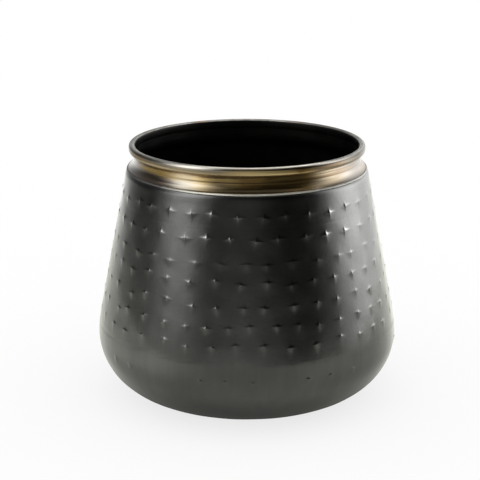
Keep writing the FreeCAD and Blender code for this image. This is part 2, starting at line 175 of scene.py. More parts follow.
class Row:
    """One row of punched stars: where each is, how it is turned and stands out, and its mesh lines."""

    def __init__(self, height, count, first, high, struck, across, up, roundness, tooth):
        self.count, self.roundness = count, roundness
        self.below, self.rub_from, rub = POINTED_MARK if roundness < 1.0 else ROUND_MARK
        self.pointed = min(1.0, max(0.0, (POINTED_FROM - roundness) / POINTED_STEP))
        self.s = s_of_height(height)
        self.r = float(section(self.s)[0])
        pitch = 2 * math.pi / count
        turns = math.radians(first) + pitch * np.arange(count)
        turns = turns - 2 * math.pi * np.round(turns / (2 * math.pi))
        self.turn = np.sort(turns) + np.radians(stray(count, *STRAY_TURN))
        self.up = self.s + stray(count, *STRAY_UP) * min(1.0, abs(self.s) / STRAY_FULL)
        self.twist = np.radians(stray(count, *STRAY_TWIST))
        self.arm_across = across * RNG.uniform(*ARM_RANGE, count)
        self.arm_up = up * RNG.uniform(*ARM_RANGE, count)
        hit = RNG.uniform(0, 1, count) < struck
        self.high = high * hit * RNG.uniform(*HIGH_RANGE, count)
        bearing = np.degrees(self.turn)
        # The rubbing share at each bearing is partly wear and partly painted glint
        rub_glint_by_bearing = np.interp(bearing, RUB_GLINT_AT, RUB_GLINT_SHARE)
        blunt = 1 - BLUNT_SHARE * np.exp(-((bearing - BLUNT_AT) / BLUNT_SPREAD) ** 2)
        self.tooth = TOOTH_HIGH * tooth * WEAR.uniform(*TOOTH_RANGE, count) * blunt * (0.5 + 0.5 * rub_glint_by_bearing)
        off_seam = min(1.0, max(0.0, self.s / RUB_FULL))
        self.worn = rub * WEAR.uniform(*RUB_RANGE, count) * off_seam * rub_glint_by_bearing
        self.right = SHAPE.uniform(*RIGHT_RANGE, count)
        self.droop = self.pointed * SHAPE.uniform(*DROOP_RANGE, count)
        self.lines()

    def lines(self):
        """Angles of the upright mesh lines, close together across each mark and slanted with it."""
        angle, slant, place = [], [], []
        for i in range(self.count):
            here = self.turn[i]
            after = self.turn[(i + 1) % self.count] + (2 * math.pi if i + 1 == self.count else 0.0)
            angle.extend(here + FINE_ACROSS / self.r)
            slant.extend(math.tan(self.twist[i]) * (1 - (FINE_ACROSS / FINE_ACROSS[-1]) ** 2))
            place.extend(FINE_ACROSS)
            start, finish = here + FINE_ACROSS[-1] / self.r, after + FINE_ACROSS[0] / self.r
            angle.extend(start + (finish - start) * np.arange(1, COARSE_STEPS + 1) / (COARSE_STEPS + 1))
            slant.extend([0.0] * COARSE_STEPS)
            place.extend([0.0] * COARSE_STEPS)
        self.angle, self.slant, self.place = np.array(angle), np.array(slant), np.array(place)
        self.lift = self.rise(self.angle)

    def rise(self, angles):
        """How far the mesh lines rise to follow the marks, smooth from one mark to the next."""
        knots = np.concatenate([self.turn[-1:] - 2 * math.pi, self.turn, self.turn[:1] + 2 * math.pi])
        rises = np.concatenate([self.up[-1:], self.up, self.up[:1]]) - self.s
        place = np.clip(np.searchsorted(knots, angles) - 1, 0, len(knots) - 2)
        share = (angles - knots[place]) / (knots[place + 1] - knots[place])
        blend = np.clip((share - CHANGE_FROM) / CHANGE_OVER, 0, 1)
        blend = blend * blend * (3 - 2 * blend)
        return rises[place] * (1 - blend) + rises[place + 1] * blend

    def ring(self, q):
        """Angles and distances of the mesh line that runs q millimetres above the marks."""
        follow = 1 - (q / FINE_UP[-1]) ** 2
        turn = self.angle - q * follow * self.slant / self.r
        rise = self.lift * (EDGE_LIFT + (1 - EDGE_LIFT) * follow)
        s = self.s + q + rise + self.place * follow * self.slant
        return turn, s


# Waves that the hammer left: how many go round, how closely they follow each other upwards, and two phases
WAVE_COUNT, WAVES_ROUND, WAVES_UP, WHOLE_TURN = 14, (5, 26), (0.05, 0.24), 6.28
WAVES = [(int(RNG.integers(*WAVES_ROUND)), RNG.uniform(*WAVES_UP),
          RNG.uniform(0, WHOLE_TURN), RNG.uniform(0, WHOLE_TURN)) for _ in range(WAVE_COUNT)]
WAVE_DEEP = 0.03


def waves(turn, s):
    """Slow unevenness left by the hammer, in millimetres."""
    total = sum(np.sin(n * turn + a) * np.sin(k * s + b) for n, k, a, b in WAVES)
    return WAVE_DEEP * total


def marks(turn, s):
    """Swelling of the metal round the stars, their own height, in millimetres, and their rubbing: wear and
    painted glint.
    """
    swell, star, rub_glint = np.zeros_like(turn), np.zeros_like(turn), np.zeros_like(turn)
    for row in MARK_ROWS:
        near = np.nonzero(np.abs(s - row.s) < MARK_REACH + ROW_SLACK)[0]
        for i in range(row.count):
            if row.high[i] == 0.0 or len(near) == 0:
                continue
            off = turn[near] - row.turn[i]
            off = off - 2 * math.pi * np.round(off / (2 * math.pi))
            a, b = off * row.r, s[near] - row.up[i]
            close = np.nonzero(a * a + b * b < MARK_REACH ** 2)[0]
            a, b, at = a[close], b[close], near[close]
            swell[at] += row.high[i] * SWELL_HIGH * np.exp(-(a * a + b * b) / SWELL_R ** 2)
            c, d = math.cos(row.twist[i]), math.sin(row.twist[i])
            a, b = a * c + b * d, b * c - a * d
            p = np.abs(a) / (row.arm_across[i] * np.where(a > 0, row.right[i], 2 - row.right[i]))
            a, b = np.abs(a), b + row.droop[i] * np.minimum(p, 1.0) ** 2
            arm_up = row.arm_up[i] * np.where(b > 0, ABOVE, row.below)
            upper = np.where(b > 0, 1.0, np.exp(-(b / RUB_BELOW) ** 2))
            b = np.abs(b)
            q = b / arm_up
            inside = np.clip(1 - (p ** row.roundness + q ** row.roundness), 0, 1)
            star[at] += row.high[i] * STAR_HIGH * inside ** (FLANK + FLANK_BY_ROUNDNESS * row.roundness)
            tooth = np.exp(-(a / TOOTH_WIDE) ** 2) * np.clip(1 - (b / TOOTH_LONG) ** 2, 0, 1)
            star[at] += row.tooth[i] * tooth
            # The rubbed ridge, tooth and tops are paler metal: wear, and painted glints
            ridge = RIDGE_SHARE * np.exp(-(b / RIDGE_WIDE) ** 2) * np.clip(1 - p, 0, 1)
            top = np.clip((inside - row.rub_from) / RUB_STEP, 0, 1)
            rub_glint[at] += row.worn[i] * np.maximum(tooth, upper * np.maximum(row.pointed * ridge, top))
    return swell, star, rub_glint


# Edges that turn by more than this stay sharp
SHARP_FROM = math.radians(40.0)


class Mesh:
    """Collects rings of points and the faces between them."""

    def __init__(self):
        self.points, self.faces, self.looks, self.rub_glint = [], [], [], {}

    def ring(self, turn, r, z, rub_glint=None):
        """Points at each angle, where 0 faces the viewer, and how far rubbing makes each bright, as wear
        and painted glint.
        """
        first = len(self.points)
        if rub_glint is not None:
            self.rub_glint[first] = rub_glint
        r, z = np.broadcast_to(r, turn.shape), np.broadcast_to(z, turn.shape)
        self.points.extend(np.stack([r * np.sin(turn), -r * np.cos(turn), z], 1) * MM)
        return (np.arange(first, first + len(turn)), np.asarray(turn))

    def face(self, corners, look):
        self.faces.append([int(c) for c in corners])
        self.looks.append(look)

    def bridge(self, low, high, look=0):
        """A band between two rings, in quads where the counts agree and else in triangles."""
        (a, ta), (b, tb) = low, high
        na, nb = len(a), len(b)
        if na == nb:
            for i in range(na):
                j = (i + 1) % na
                self.face((a[i], a[j], b[j], b[i]), look)
            return
        i = j = 0
        ta, tb = np.append(ta, ta[0] + 2 * math.pi), np.append(tb, tb[0] + 2 * math.pi)
        while i < na or j < nb:
            if j == nb or (i < na and ta[i + 1] <= tb[j + 1]):
                self.face((a[i], a[(i + 1) % na], b[j % nb]), look)
                i += 1
            else:
                self.face((a[i % na], b[(j + 1) % nb], b[j]), look)
                j += 1

    def chain(self, rings, look=0):
        for low, high in zip(rings, rings[1:]):
            self.bridge(low, high, look)

    def cap(self, ring, z, look=0):
        """Closes a ring to a point on the axis."""
        tip = len(self.points)
        self.points.append(np.array([0.0, 0.0, z * MM]))
        for i in range(len(ring[0])):
            self.face((ring[0][i], ring[0][(i + 1) % len(ring[0])], tip), look)

    def make(self, name, materials):
        mesh = bpy.data.meshes.new(name)
        mesh.from_pydata([tuple(p) for p in self.points], [], self.faces)
        mesh.polygons.foreach_set("material_index", self.looks)
        work = bmesh.new()
        work.from_mesh(mesh)
        bmesh.ops.recalc_face_normals(work, faces=work.faces)
        work.to_mesh(mesh)
        work.free()
        mesh.polygons.foreach_set("use_smooth", [True] * len(mesh.polygons))
        mesh.set_sharp_from_angle(angle=SHARP_FROM)
        if self.rub_glint:
            worn = np.zeros(len(self.points))
            for first, values in self.rub_glint.items():
                worn[first:first + len(values)] = values
            mesh.attributes.new("rub_glint", "FLOAT", "POINT").data.foreach_set("value", worn)
        for material in materials:
            mesh.materials.append(material)
        piece = bpy.data.objects.new(name, mesh)
        bpy.context.collection.objects.link(piece)
        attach(piece, "root")
        return piece


def even(count):
    return -math.pi + 2 * math.pi * np.arange(count) / count


# Nearly all values of a noise lie between these two
NOISE_LOW, NOISE_HIGH = 0.3, 0.7
# A worn patch: the share of its spread that is wholly worn, how ragged its edge is, over which values of
# the noise, and how much it covers
PATCH_CORE, PATCH_RAGGED, PATCH_NOISE, PATCH_COVER = 0.35, 0.28, (0.2, 0.8), 0.9
# Depth of the grain in metal and lacquer, and of the fibres in felt, in metres
FINE_BUMP, FELT_BUMP = 0.0001, 0.0004


class Look:
    """A node material with one Principled shader."""

    def __init__(self, name, **values):
        self.material = bpy.data.materials.new(name)
        self.material.use_nodes = True
        self.nodes, self.links = self.material.node_tree.nodes, self.material.node_tree.links
        self.shader = self.nodes["Principled BSDF"]
        for key, value in values.items():
            self.shader.inputs[key.replace("_", " ")].default_value = value
        self.place = self.add("ShaderNodeTexCoord").outputs["Object"]

    def add(self, kind, **settings):
        node = self.nodes.new(kind)
        for key, value in settings.items():
            setattr(node, key, value)
        return node

    def feed(self, socket, value):
        if isinstance(value, bpy.types.NodeSocket):
            self.links.new(value, socket)
        else:
            socket.default_value = value

    def math(self, operation, first, second=0.0):
        node = self.add("ShaderNodeMath", operation=operation)
        self.feed(node.inputs[0], first)
        self.feed(node.inputs[1], second)
        return node.outputs[0]

    def height(self):
        node = self.add("ShaderNodeSeparateXYZ")
        self.links.new(self.place, node.inputs[0])
        return node.outputs["Z"]

    def side(self, bearing, spread, uneven):
        """Share of a patch about one bearing, in degrees, with an uneven edge."""
        turn = math.radians(bearing)
        flat = self.add("ShaderNodeVectorMath", operation="MULTIPLY")
        self.links.new(self.place, flat.inputs[0])
        flat.inputs[1].default_value = (1.0, 1.0, 0.0)
        unit = self.add("ShaderNodeVectorMath", operation="NORMALIZE")
        self.links.new(flat.outputs[0], unit.inputs[0])
        towards = self.add("ShaderNodeVectorMath", operation="DOT_PRODUCT")
        self.links.new(unit.outputs[0], towards.inputs[0])
        towards.inputs[1].default_value = (math.sin(turn), -math.cos(turn), 0.0)
        outer, inner = math.cos(math.radians(spread)), math.cos(math.radians(spread * PATCH_CORE))
        rag = PATCH_RAGGED * (inner - outer)
        near = self.math("ADD", towards.outputs["Value"], self.range(uneven, *PATCH_NOISE, -rag, rag))
        return self.range(near, outer, inner, 0.0, PATCH_COVER)

    def noise(self, scale, detail=2.0, rough=0.5, stretch=None):
        node = self.add("ShaderNodeTexNoise")
        node.inputs["Scale"].default_value = scale
        node.inputs["Detail"].default_value = detail
        node.inputs["Roughness"].default_value = rough
        vector = self.place
        if stretch:
            mapping = self.add("ShaderNodeMapping")
            mapping.inputs["Scale"].default_value = stretch
            self.links.new(vector, mapping.inputs["Vector"])
            vector = mapping.outputs["Vector"]
        self.links.new(vector, node.inputs["Vector"])
        return node.outputs["Fac"]

    def range(self, value, low, high, to_low, to_high):
        """The value, with low to high mapped to two other numbers and nothing beyond them."""
        node = self.add("ShaderNodeMapRange")
        for socket, number in zip(node.inputs[1:5], (low, high, to_low, to_high)):
            socket.default_value = number
        self.links.new(value, node.inputs[0])
        return node.outputs[0]

    def band(self, value, rise, fall):
        """Share of a band that comes in between the first two heights and goes out between the others."""
        return self.math("MULTIPLY", self.range(value, *rise, 0.0, 1.0), self.range(value, *fall, 0.0, 1.0))

    def spread(self, noise, low, high):
        """Numbers from low to high over the values of a noise."""
        return self.range(noise, NOISE_LOW, NOISE_HIGH, low, high)

    def tones(self, noise, dark, light):
        """Colours from dark to light over the values of a noise."""
        node = self.add("ShaderNodeValToRGB")
        stops = ((NOISE_LOW, dark), (NOISE_HIGH, light))
        for element, (at, colour) in zip(node.color_ramp.elements, stops):
            element.position = at
            element.color = (*colour, 1.0)
        self.links.new(noise, node.inputs["Fac"])
        return node.outputs["Color"]

    def mix(self, share, first, second):
        node = self.add("ShaderNodeMix", data_type="RGBA", blend_type="MIX")
        self.feed(node.inputs[0], share)
        for socket, value in ((node.inputs[6], first), (node.inputs[7], second)):
            self.feed(socket, value if isinstance(value, bpy.types.NodeSocket) else (*value, 1.0))
        return node.outputs[2]

    def bump(self, height, distance=FINE_BUMP):
        node = self.add("ShaderNodeBump")
        node.inputs["Distance"].default_value = distance
        node.inputs["Strength"].default_value = 1.0
        self.links.new(height, node.inputs["Height"])
        self.links.new(node.outputs["Normal"], self.shader.inputs["Normal"])

    def set(self, name, value):
        self.links.new(value, self.shader.inputs[name])


def gunmetal():
    """Dark satin metal, brushed upwards, paler on the tops of the marks: worn there, with painted glints.
    """
    look = Look("gunmetal", Metallic=1.0)
    dark, light, fleck = (0.078, 0.078, 0.0765), (0.098, 0.098, 0.096), (0.112, 0.112, 0.110)
    scored, polished_glint = (0.062, 0.062, 0.061), (0.215, 0.215, 0.21)
    cloud = look.noise(14.0, 4.0, 0.55)
    grain = look.noise(900.0, 2.0)
    tone = look.mix(look.range(grain, 0.35, 0.65, 0.0, 0.25), look.tones(cloud, dark, light), fleck)
    brushed = look.noise(1.0, 4.0, 0.6, (90.0, 90.0, 9.0))
    tone = look.mix(look.range(brushed, 0.35, 0.7, 0.0, 0.35), tone, scored)
    # The tops of the marks turn paler and smoother: wear, and painted glints
    crest = look.add("ShaderNodeAttribute", attribute_name="rub_glint").outputs["Fac"]
    bare = look.range(crest, 0.08, 0.7, 0.0, 0.9)
    look.set("Base Color", look.mix(bare, tone, polished_glint))
    rough = look.spread(look.noise(40.0, 5.0, 0.6), 0.15, 0.22)
    look.set("Roughness", look.math("SUBTRACT", rough, look.math("MULTIPLY", bare, 0.09)))
    look.bump(look.math("ADD", look.noise(120.0, 4.0, 0.6), look.math("MULTIPLY", grain, 0.25)))
    return look.material


def lacquer_and_shade():
    """Matte black of the inside, far darker than paint, so that it also paints the shade inside the pot."""
    look = Look("black_lacquer", Specular_IOR_Level=0.1)
    dark, light = (0.0008, 0.0008, 0.0005), (0.0026, 0.0026, 0.0018)
    look.set("Base Color", look.tones(look.noise(30.0, 4.0), dark, light))
    look.set("Roughness", look.spread(look.noise(60.0, 4.0), 0.4, 0.55))
    look.bump(look.noise(220.0, 3.0))
    return look.material


# Patches of the collar made paler or darker by bearing, as painted highlight and painted shade: bearing and
# spread in degrees, colour, and part
PAINTED_LIGHT_PATCHES = [
    (-44.0, 26.0, (0.62, 0.42, 0.155), "neck"),
    (-28.5, 16.0, (0.385, 0.322, 0.215), "neck"),
    (-15.0, 13.0, (0.55, 0.395, 0.165), "neck"),
    (-62.0, 60.0, (0.21, 0.206, 0.193), "cove"),
    (-58.0, 22.0, (0.18, 0.13, 0.095), "cove"),
    (-32.0, 34.0, (0.25, 0.205, 0.145), "roll"),
    (-31.0, 34.0, (0.34, 0.32, 0.285), "crown"),
    (-98.0, 40.0, (0.24, 0.234, 0.222), "neck"),
    (-98.0, 42.0, (0.09, 0.088, 0.083), "roll"),
    (44.0, 14.0, (0.38, 0.31, 0.21), "all"),
    (62.0, 26.0, (0.119, 0.105, 0.089), "all"),
    (58.0, 12.0, (0.15, 0.132, 0.11), "neck"),
    (42.0, 15.0, (0.12, 0.095, 0.06), "cove"),
    (41.0, 14.0, (0.14, 0.095, 0.055), "roll"),
    (6.0, 18.0, (0.50, 0.38, 0.19), "roll"),
    (94.0, 26.0, (0.40, 0.385, 0.35), "roll"),
    (50.0, 36.0, (0.012, 0.009, 0.006), "groove"),
    (0.0, 34.0, (0.09, 0.07, 0.036), "lip"),
    (150.0, 34.0, (0.40, 0.32, 0.20), "neck"),
    (178.0, 50.0, (0.23, 0.225, 0.21), "cove"),
]

# Parts of the collar, each with the two heights between which it comes in, in metres: first those with a
# ragged border, which strays by the height after them, then those with an even one
RAGGED_PARTS = {
    "lip": (0.2352, 0.2340),
    "cove": (0.2405, 0.2370),
    "neck": (0.2472, 0.2462),
    "roll": (0.2462, 0.2472),
}
RAGGED_BY = 0.0012
EVEN_PARTS = {"crown": (0.2508, 0.2518), "groove": (0.2516, 0.2526)}
# Heights, in metres: the streaks, the painted shadow line under the roll, the line scribed over the hollow,
# the roll's lower edge with its painted highlight, the crest of the rim and its inner edge
STREAKS, UNDER_ROLL = (0.2385, 0.2405), ((0.2432, 0.2444), (0.2464, 0.2454))
SCRIBED, LEDGE = ((0.2391, 0.2397), (0.2409, 0.2403)), (0.2486, 0.2476)
CREST, INNER_EDGE = (0.2530, 0.2544), (0.2541, 0.2546)
# Bearing and spread, in degrees: the two lines, the bare part of the crest, the two bare inner edges,
# the bare parts being worn metal and painted highlight
UNDER_AT, SCRIBED_AT, CREST_AT = (-28.0, 66.0), (14.0, 64.0), (14.0, 52.0)
INNER_LEFT, INNER_RIGHT = (-66.0, 38.0), (84.0, 36.0)
# Colours of the metal, of what browns it, of the painted shadow under the roll, and of the places where it
# is pale or bare, which carry painted highlights
BRASS_DARK, BRASS_LIGHT = (0.25, 0.152, 0.042), (0.43, 0.287, 0.100)
PATINA, BRUSH_LINES, STREAK = (0.085, 0.043, 0.012), (0.14, 0.078, 0.024), (0.10, 0.06, 0.02)
UNDER_ROLL_SHADOW, SCRIBED_BROWN, LEDGE_HIGHLIGHT = (0.09, 0.052, 0.02), (0.085, 0.05, 0.02), (0.44, 0.36, 0.24)
CREST_DULL, CREST_BARE_HIGHLIGHT, INNER_BARE_HIGHLIGHT = (0.14, 0.135, 0.121), (0.68, 0.65, 0.58), (0.62, 0.61, 0.57)
PLAIN_TINT, ROLL_TINT = (1.0, 1.0, 1.0), (0.6, 0.6, 0.6)


def antique_brass():
    """Brushed and browned, with painted highlight and shade in patches by bearing, and pale along the top
    of the rim.
    """
    look = Look("antique_brass", Metallic=1.0, Coat_Weight=0.25, Coat_Roughness=0.1, Coat_IOR=1.5)
    lines = look.noise(1.0, 3.0, 0.6, (14.0, 14.0, 900.0))
    cloud = look.noise(26.0, 4.0, 0.6)
    patina = look.noise(1.0, 4.0, 0.65, (22.0, 22.0, 160.0))
    metal = look.tones(cloud, BRASS_DARK, BRASS_LIGHT)
    tone = look.mix(look.range(patina, 0.40, 0.64, 0.0, 0.8), metal, PATINA)
    tone = look.mix(look.spread(lines, 0.0, 0.35), tone, BRUSH_LINES)
    height = look.height()
    up = look.math("ADD", height, look.spread(patina, -RAGGED_BY, RAGGED_BY))
    parts = {name: look.range(up, *span, 0.0, 1.0) for name, span in RAGGED_PARTS.items()}
    parts.update({name: look.range(height, *span, 0.0, 1.0) for name, span in EVEN_PARTS.items()})
    # Each patch paints highlight or shade into the colour at its bearing
    for bearing, spread, colour, part in PAINTED_LIGHT_PATCHES:
        share = look.side(bearing, spread, cloud)
        tone = look.mix(look.math("MULTIPLY", share, parts.get(part, 1.0)), tone, colour)
    streaks = look.range(look.noise(1.0, 2.0, 0.5, (9.0, 9.0, 420.0)), 0.5, 0.64, 0.0, 0.6)
    streaks = look.math("MULTIPLY", streaks, look.range(height, *STREAKS, 0.0, 1.0))
    tone = look.mix(look.math("MULTIPLY", streaks, parts["neck"]), tone, STREAK)
    # A painted shadow darkens the neck just under the roll
    under = look.math("MULTIPLY", look.band(up, *UNDER_ROLL), look.side(*UNDER_AT, cloud))
    tone = look.mix(under, tone, UNDER_ROLL_SHADOW)
    scribed = look.math("MULTIPLY", look.band(height, *SCRIBED), look.side(*SCRIBED_AT, cloud))
    tone = look.mix(scribed, tone, SCRIBED_BROWN)
    # A painted highlight along the lower edge of the roll
    ledge_highlight = look.math("MULTIPLY", parts["roll"], look.range(height, *LEDGE, 0.0, 0.55))
    tone = look.mix(ledge_highlight, tone, LEDGE_HIGHLIGHT)
    # The crest: bare and pale in front, dull elsewhere, as wear and painted highlight
    crest = look.range(height, *CREST, 0.0, 0.9)
    tone = look.mix(crest, tone, look.mix(look.side(*CREST_AT, cloud), CREST_DULL, CREST_BARE_HIGHLIGHT))
    # The inner edge at the two sides: bare metal, and a painted highlight
    sides = look.math("MAXIMUM", look.side(*INNER_LEFT, cloud), look.side(*INNER_RIGHT, cloud))
    inner = look.math("MULTIPLY", sides, look.range(height, *INNER_EDGE, 0.0, 1.0))
    look.set("Base Color", look.mix(inner, tone, INNER_BARE_HIGHLIGHT))
    look.set("Specular Tint", look.mix(parts["roll"], PLAIN_TINT, ROLL_TINT))
    brushed = look.spread(lines, 0.13, 0.24)
    look.set("Roughness", look.math("ADD", brushed, look.math("MULTIPLY", crest, 0.16)))
    look.bump(lines)
    return look.material


def rim_edge():
    """Metal just inside the rim's crest, worn bare, paler in front as painted highlight, duller round the
    back as painted shade, coppery in places.
    """
    look = Look("rim_edge", Metallic=1.0)
    dark, light, copper = (0.20, 0.195, 0.182), (0.36, 0.352, 0.33), (0.21, 0.13, 0.065)
    dull, bare = (0.14, 0.135, 0.125), (0.58, 0.565, 0.52)
    cloud = look.noise(24.0, 3.0)
    dim = look.tones(look.noise(120.0, 3.0), dark, light)
    dim = look.mix(look.range(cloud, 0.56, 0.64, 0.0, 0.6), dim, copper)
    # Duller at the back right and bare in front: painted shade and painted highlight on worn metal
    dim = look.mix(look.side(132.0, 28.0, cloud), dim, dull)
    look.set("Base Color", look.mix(look.side(0.0, 125.0, cloud), dim, bare))
    look.set("Roughness", look.spread(look.noise(300.0, 2.0), 0.4, 0.5))
    return look.material


def pale_trim():
    """Pale matte metal, bright in front and behind, darkened at the two sides by painted shade."""
    look = Look("pale_trim", Metallic=1.0)
    cream, white = (0.70, 0.685, 0.605), (0.86, 0.84, 0.765)
    side_shade, thin_side_shade = (0.11, 0.108, 0.104), (0.34, 0.33, 0.308)
    worn = look.noise(90.0, 4.0, 0.6)
    cloud = look.noise(26.0, 4.0, 0.6)
    # Painted shade: the trim darkens at the two sides
    bright = look.math("MAXIMUM", look.side(-4.0, 40.0, cloud), look.side(172.0, 50.0, cloud))
    sides = look.math("MAXIMUM", look.side(80.0, 70.0, cloud), look.side(-104.0, 34.0, cloud))
    dull = look.mix(sides, side_shade, thin_side_shade)
    look.set("Base Color", look.mix(bright, dull, look.tones(worn, cream, white)))
    look.set("Roughness", look.spread(worn, 0.55, 0.65))
    look.bump(look.noise(400.0, 3.0))
    return look.material


def drawn_wire():
    look = Look("drawn_wire", Metallic=1.0)
    lines = look.noise(1.0, 2.0, 0.5, (30.0, 30.0, 1500.0))
    look.set("Base Color", look.tones(lines, (0.35, 0.35, 0.36), (0.5, 0.5, 0.51)))
    look.set("Roughness", look.spread(lines, 0.3, 0.5))
    look.bump(lines)
    return look.material


def felt():
    look = Look("felt", Roughness=0.95, Specular_IOR_Level=0.1)
    fibre = look.noise(1600.0, 4.0, 0.7)
    look.set("Base Color", look.tones(fibre, (0.012, 0.012, 0.013), (0.055, 0.054, 0.053)))
    look.bump(fibre, FELT_BUMP)
    return look.material


GUNMETAL, LACQUER_AND_SHADE, WIRE, FELT = gunmetal(), lacquer_and_shade(), drawn_wire(), felt()
BRASS, EDGE, TRIM = antique_brass(), rim_edge(), pale_trim()

# The punched skin, as rings from the foot to the shoulder
MARK_ROWS = [Row(*row) for row in ROWS]
# Points round a plain ring and round a ring of the lining
PLAIN, INSIDE = 240, 288
# Plain rings of the bowl, the band below the first row and the one below the bend, in millimetres
BOWL_RINGS, FIRST_BAND, LAST_BAND = 26, 9.0, 2.0
# Rings between rows: their places below a row, then the counts above it in narrow and in wide gaps
LOW_PLACES, NARROW_GAP, NARROW_RINGS, WIDE_RINGS, LAST_STEP = (0.12, 0.55), 8.0, 2, 5, 0.6
# The skin lies in at the seam and by a share of the waves, and turns plain over a length below the bend
SEAM_BAND, SEAM_INSET, SEAM_REACH = 0.25, 0.42, 16.0
WAVE_INSET, PLAIN_OVER, LEAST_OUT = 0.4, 6.0, 0.2
# The lining: how far it lies in, where it starts above the bend and ends above the seam, and its rings
LINING_IN, LINING_ABOVE, LINING_END, LINING_RINGS = 0.6, 1.0, 2.0, 64
BEND_POINTS = 10


def outside_ring(mesh, turn, s):
    """A ring of the punched skin, nowhere wider than the belly."""
    s = np.broadcast_to(np.asarray(s, float), turn.shape)
    r, z, nr, nz = section(s)
    swell, star, rub_glint = marks(turn, s)
    inset = WAVE_DEEP * len(WAVES) * WAVE_INSET + SEAM_INSET * np.exp(-(s / SEAM_REACH) ** 2)
    proud = swell + star - waves(turn, s) - inset
    most = (BELLY_R - r) / np.maximum(nr, LEAST_OUT)
    proud = np.minimum(proud * np.clip((S_BEND - s) / PLAIN_OVER, 0, 1), most)
    return mesh.ring(turn, r + nr * proud, z + nz * proud, np.minimum(rub_glint, 1.0))


def skin_rings():
    """(angles, s) of each ring, from the foot up."""
    rings = [(even(PLAIN), s) for s in np.linspace(S_FOOT, MARK_ROWS[0].s - FIRST_BAND, BOWL_RINGS)]
    for k, row in enumerate(MARK_ROWS):
        below = row.s - FIRST_BAND if k == 0 else (MARK_ROWS[k - 1].s + row.s) / 2
        above = (row.s + MARK_ROWS[k + 1].s) / 2 if k + 1 < len(MARK_ROWS) else S_BEND - LAST_BAND
        low, high, edge = row.s + FINE_UP[0], row.s + FINE_UP[-1], row.lift * EDGE_LIFT
        for share in LOW_PLACES:
            rings.append((row.angle, below + (low - below) * share + edge * share))
        for q in FINE_UP:
            rings.append(row.ring(q))
        count = NARROW_RINGS if above - high < NARROW_GAP else WIDE_RINGS
        for i in range(1, count + 1):
            share = i / (count + LAST_STEP)
            rings.append((row.angle, high + (above - high) * share + edge * (1 - share)))
    return rings


def split_at_seam(rings):
    """The rings above and below the seam, each list with the seam's own ring added."""
    above = [(turn, s) for turn, s in rings if np.min(s) > 2 * SEAM_BAND]
    below = [(turn, s) for turn, s in rings if np.max(s) < -2 * SEAM_BAND]
    seam = MARK_ROWS[0].angle
    return below + [(seam, -SEAM_BAND), (seam, 0.0)], [(seam, 0.0), (seam, SEAM_BAND)] + above


def inside_ring(mesh, s):
    turn = even(INSIDE)
    s = np.full(turn.shape, float(s))
    r, z, nr, nz = section(s)
    sunk = WALL_T + LINING_IN - marks(turn, s)[0]
    return mesh.ring(turn, r - nr * sunk, z - nz * sunk)


def hammered_wall(rings):
    mesh = Mesh()
    skin = [outside_ring(mesh, turn, s) for turn, s in rings]
    turn = even(PLAIN)
    hidden = arc(SHOULDER_C, SHOULDER_R, TILT, COVE_TURN, BEND_POINTS)
    hidden += arc(COVE_C, WALL_COVE_R, math.pi + COVE_TURN, math.pi, BEND_POINTS)[1:]
    top = HEIGHT - SPIGOT_DROP
    hidden.append((COVE_C[0] - WALL_COVE_R, top))
    skin += [mesh.ring(turn, r, z) for r, z in hidden]
    mesh.chain(skin)
    inner = [(COVE_C[0] - WALL_COVE_R - WALL_T, top)]
    inner += arc(COVE_C, WALL_COVE_R + WALL_T, math.pi, math.pi + COVE_TURN, BEND_POINTS)
    lining = [mesh.ring(turn, r, z) for r, z in inner]
    downwards = np.linspace(S_BEND + LINING_ABOVE, LINING_END, LINING_RINGS)
    lining += [inside_ring(mesh, s) for s in downwards]
    lining.append(mesh.ring(even(INSIDE), BELLY_R - WALL_T, BOWL_C[1]))
    mesh.chain(lining, 1)
    mesh.bridge(skin[-1], lining[0], 1)
    mesh.bridge(lining[-1], skin[0], 0)
    piece = mesh.make("wall_skin", [GUNMETAL, LACQUER_AND_SHADE])
    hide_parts("hammered_wall")


# The pan: rings of its raised panel, the end of the flat, how the panel's edge is rounded, points of arcs
PANEL_RINGS, FLAT_END = (18.0, 38.0), 8.0
ROUND_OUT, ROUND_IN, ROUND_DROP = 1.0, 0.5, 0.2
LAP_POINTS, BOWL_POINTS = 6, 30


def base_pan(rings):
    mesh = Mesh()
    turn = even(PLAIN)
    top = FOOT_Z + PAN_T
    kick = [(KICK_R - ROUND_OUT, KICK_H), (KICK_R + ROUND_IN, KICK_H - ROUND_DROP)]
    kick += [(KICK_R + KICK_RUN - ROUND_IN, ROUND_DROP), (KICK_R + KICK_RUN + ROUND_OUT, 0.0)]
    dish = [(r, KICK_H) for r in PANEL_RINGS] + kick
    under = [mesh.ring(turn, r, FOOT_Z + z) for r, z in dish + [(BOWL_C[0] - FLAT_END, 0.0)]]
    mesh.cap(under[0], FOOT_Z + KICK_H)
    skin = under + [outside_ring(mesh, t, s) for t, s in rings]
    flange_out = BOWL_R - WALL_T - GAP
    flange_in = flange_out - PAN_T
    lap = LAP / flange_out
    flange = arc(BOWL_C, flange_out, 0.0, lap, LAP_POINTS) + arc(BOWL_C, flange_in, lap, 0.0, LAP_POINTS)
    flange += arc(BOWL_C, BOWL_R - PAN_T, -JOGGLE / BOWL_R, -math.pi / 2, BOWL_POINTS)
    flange += [(r, top + z) for r, z in dish[::-1]]
    lining = [mesh.ring(turn, r, z) for r, z in flange]
    mesh.chain(skin)
    mesh.chain(lining, 1)
    mesh.bridge(skin[-1], lining[0], 0)
    mesh.cap(lining[-1], top + KICK_H, 1)
    piece = mesh.make("pan_skin", [GUNMETAL, LACQUER_AND_SHADE])
    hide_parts("base_pan")


# Points round the collar and its trim
COLLAR_ROUND = 320


